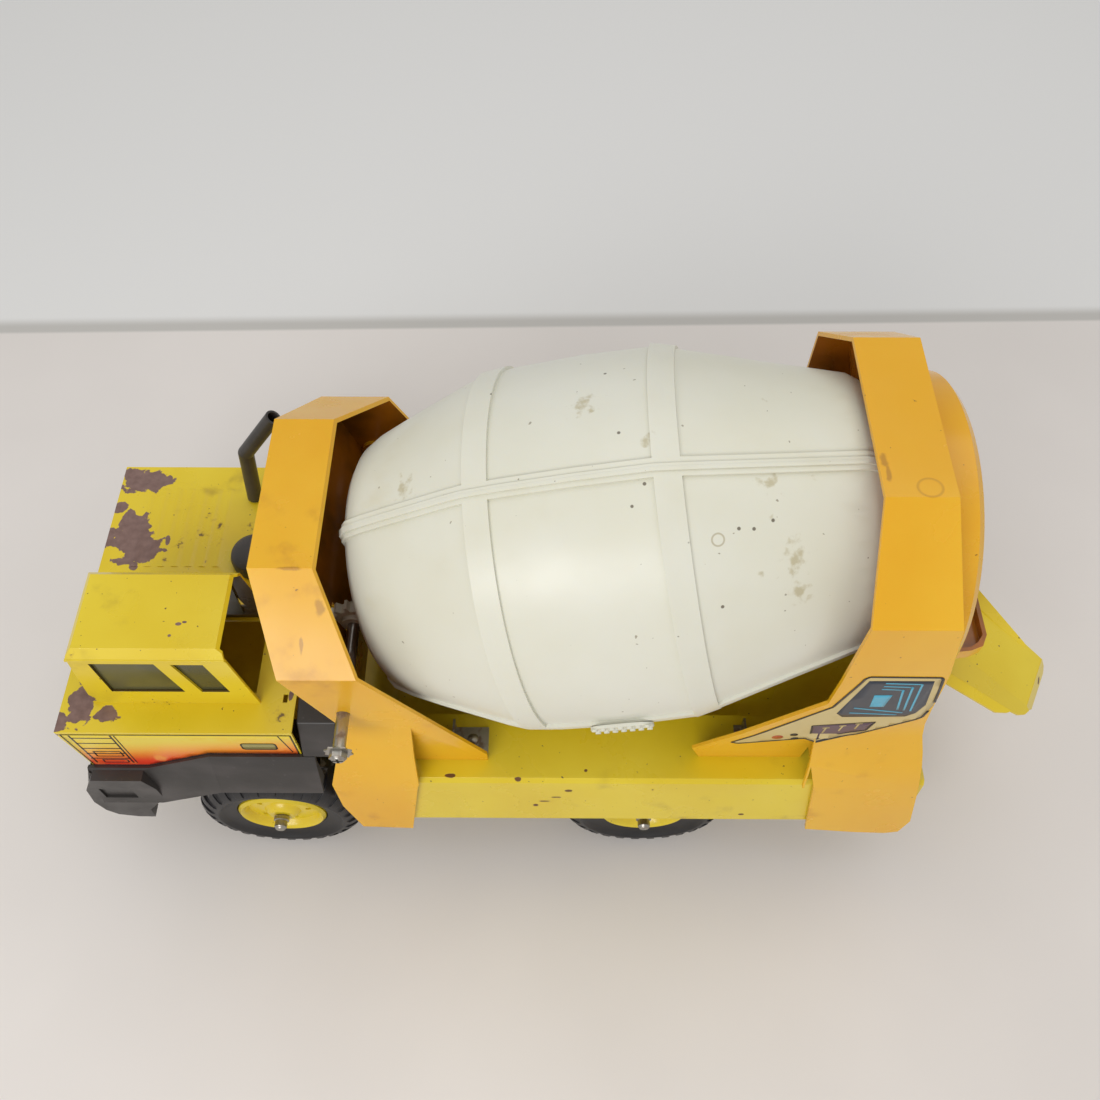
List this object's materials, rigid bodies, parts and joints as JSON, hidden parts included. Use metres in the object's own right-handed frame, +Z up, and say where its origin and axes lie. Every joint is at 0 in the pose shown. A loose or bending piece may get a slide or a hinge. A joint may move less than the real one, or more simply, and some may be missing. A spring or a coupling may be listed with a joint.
{
  "type": "toy cement mixer truck",
  "caption": "Toy concrete mixer truck with steel cab and deck, drum turned by a side crank through a crown gear, swivelling chute and free-rolling wheels.",
  "frame": {"origin": "on the ground, under the middle of the truck", "axes": "+X to the rear of the truck, +Y to its right-hand side, +Z up"},
  "size_m": [0.5065, 0.203, 0.29],
  "materials": {
    "painted_steel": "glossy yellow enamel with chips and rust",
    "support_plastic": "moulded orange-yellow plastic, slightly translucent",
    "dark_plastic": "moulded dark grey-brown plastic",
    "drum_plastic": "blow-moulded off-white plastic",
    "nylon": "moulded natural nylon",
    "tinted_glazing": "olive tinted clear plastic",
    "tyre_plastic": "moulded black plastic with worn lugs",
    "bare_steel": "dull plated steel"
  },
  "bodies": {
    "truck": {"chassis_pan": "painted_steel", "axle_bracket_front": "bare_steel", "axle_bracket_rear": "bare_steel", "chassis_rivets": "bare_steel", "cab_shell": "painted_steel", "cabin_shell": "painted_steel", "cabin_glazing": "tinted_glazing", "bumper_fenders": "dark_plastic", "side_tank_left": "dark_plastic", "side_tank_right": "dark_plastic", "exhaust_stack": "dark_plastic", "air_cleaner": "dark_plastic", "cab_rivets": "bare_steel", "front_drum_support": "support_plastic", "rear_drum_support": "support_plastic", "bearing_post": "bare_steel", "rear_bearing_plate": "support_plastic", "deck_clips": "bare_steel", "support_screws": "bare_steel", "chute_mount": "bare_steel", "chute_pivot_rivet": "bare_steel", "axle_front": "bare_steel", "axle_rear": "bare_steel", "axle_caps": "bare_steel"},
    "drum": {"drum_half_left": "drum_plastic", "drum_half_right": "drum_plastic", "drum_hatch": "drum_plastic", "drum_spindle": "bare_steel", "crown_gear": "nylon", "drum_neck_ring": "nylon"},
    "crank": {"crank_rod": "bare_steel", "crank_pinion": "nylon", "crank_washer": "bare_steel", "crank_screw": "bare_steel", "crank_arm": "dark_plastic", "crank_knob": "dark_plastic"},
    "chute": {"chute_bracket": "bare_steel", "chute_trough": "painted_steel", "chute_rivets": "bare_steel"},
    "wheel_front_left": {"tyre_front_left": "tyre_plastic", "hub_front_left": "painted_steel"},
    "wheel_front_right": {"tyre_front_right": "tyre_plastic", "hub_front_right": "painted_steel"},
    "wheel_rear_left": {"tyre_rear_left": "tyre_plastic", "hub_rear_left": "painted_steel"},
    "wheel_rear_right": {"tyre_rear_right": "tyre_plastic", "hub_rear_right": "painted_steel"}
  },
  "joints": [
    {"name": "drum_spin", "type": "hinge", "parent": "truck", "child": "drum", "pos_m": [-0.02, 0, 0.1876], "axis": [0.9728, 0, 0.2317], "continuous": true},
    {"name": "crank_turn", "type": "hinge", "parent": "truck", "child": "crank", "pos_m": [-0.10463, 0, 0.16744], "axis": [0, 1, 0], "continuous": true},
    {"name": "chute_swing", "type": "hinge", "parent": "truck", "child": "chute", "pos_m": [0.172, 0, 0.1094], "axis": [0, 0, 1], "range_deg": [-12, 68]},
    {"name": "wheel_front_left_spin", "type": "hinge", "parent": "truck", "child": "wheel_front_left", "pos_m": [-0.158, -0.0725, 0.045], "axis": [0, 1, 0], "continuous": true},
    {"name": "wheel_front_right_spin", "type": "hinge", "parent": "truck", "child": "wheel_front_right", "pos_m": [-0.158, 0.0725, 0.045], "axis": [0, 1, 0], "continuous": true},
    {"name": "wheel_rear_left_spin", "type": "hinge", "parent": "truck", "child": "wheel_rear_left", "pos_m": [0.043, -0.071, 0.045], "axis": [0, 1, 0], "continuous": true},
    {"name": "wheel_rear_right_spin", "type": "hinge", "parent": "truck", "child": "wheel_rear_right", "pos_m": [0.043, 0.071, 0.045], "axis": [0, 1, 0], "continuous": true}
  ],
  "couplings": [
    {"joint": "crank_turn", "follows": "drum_spin", "ratio": 2.5}
  ]
}
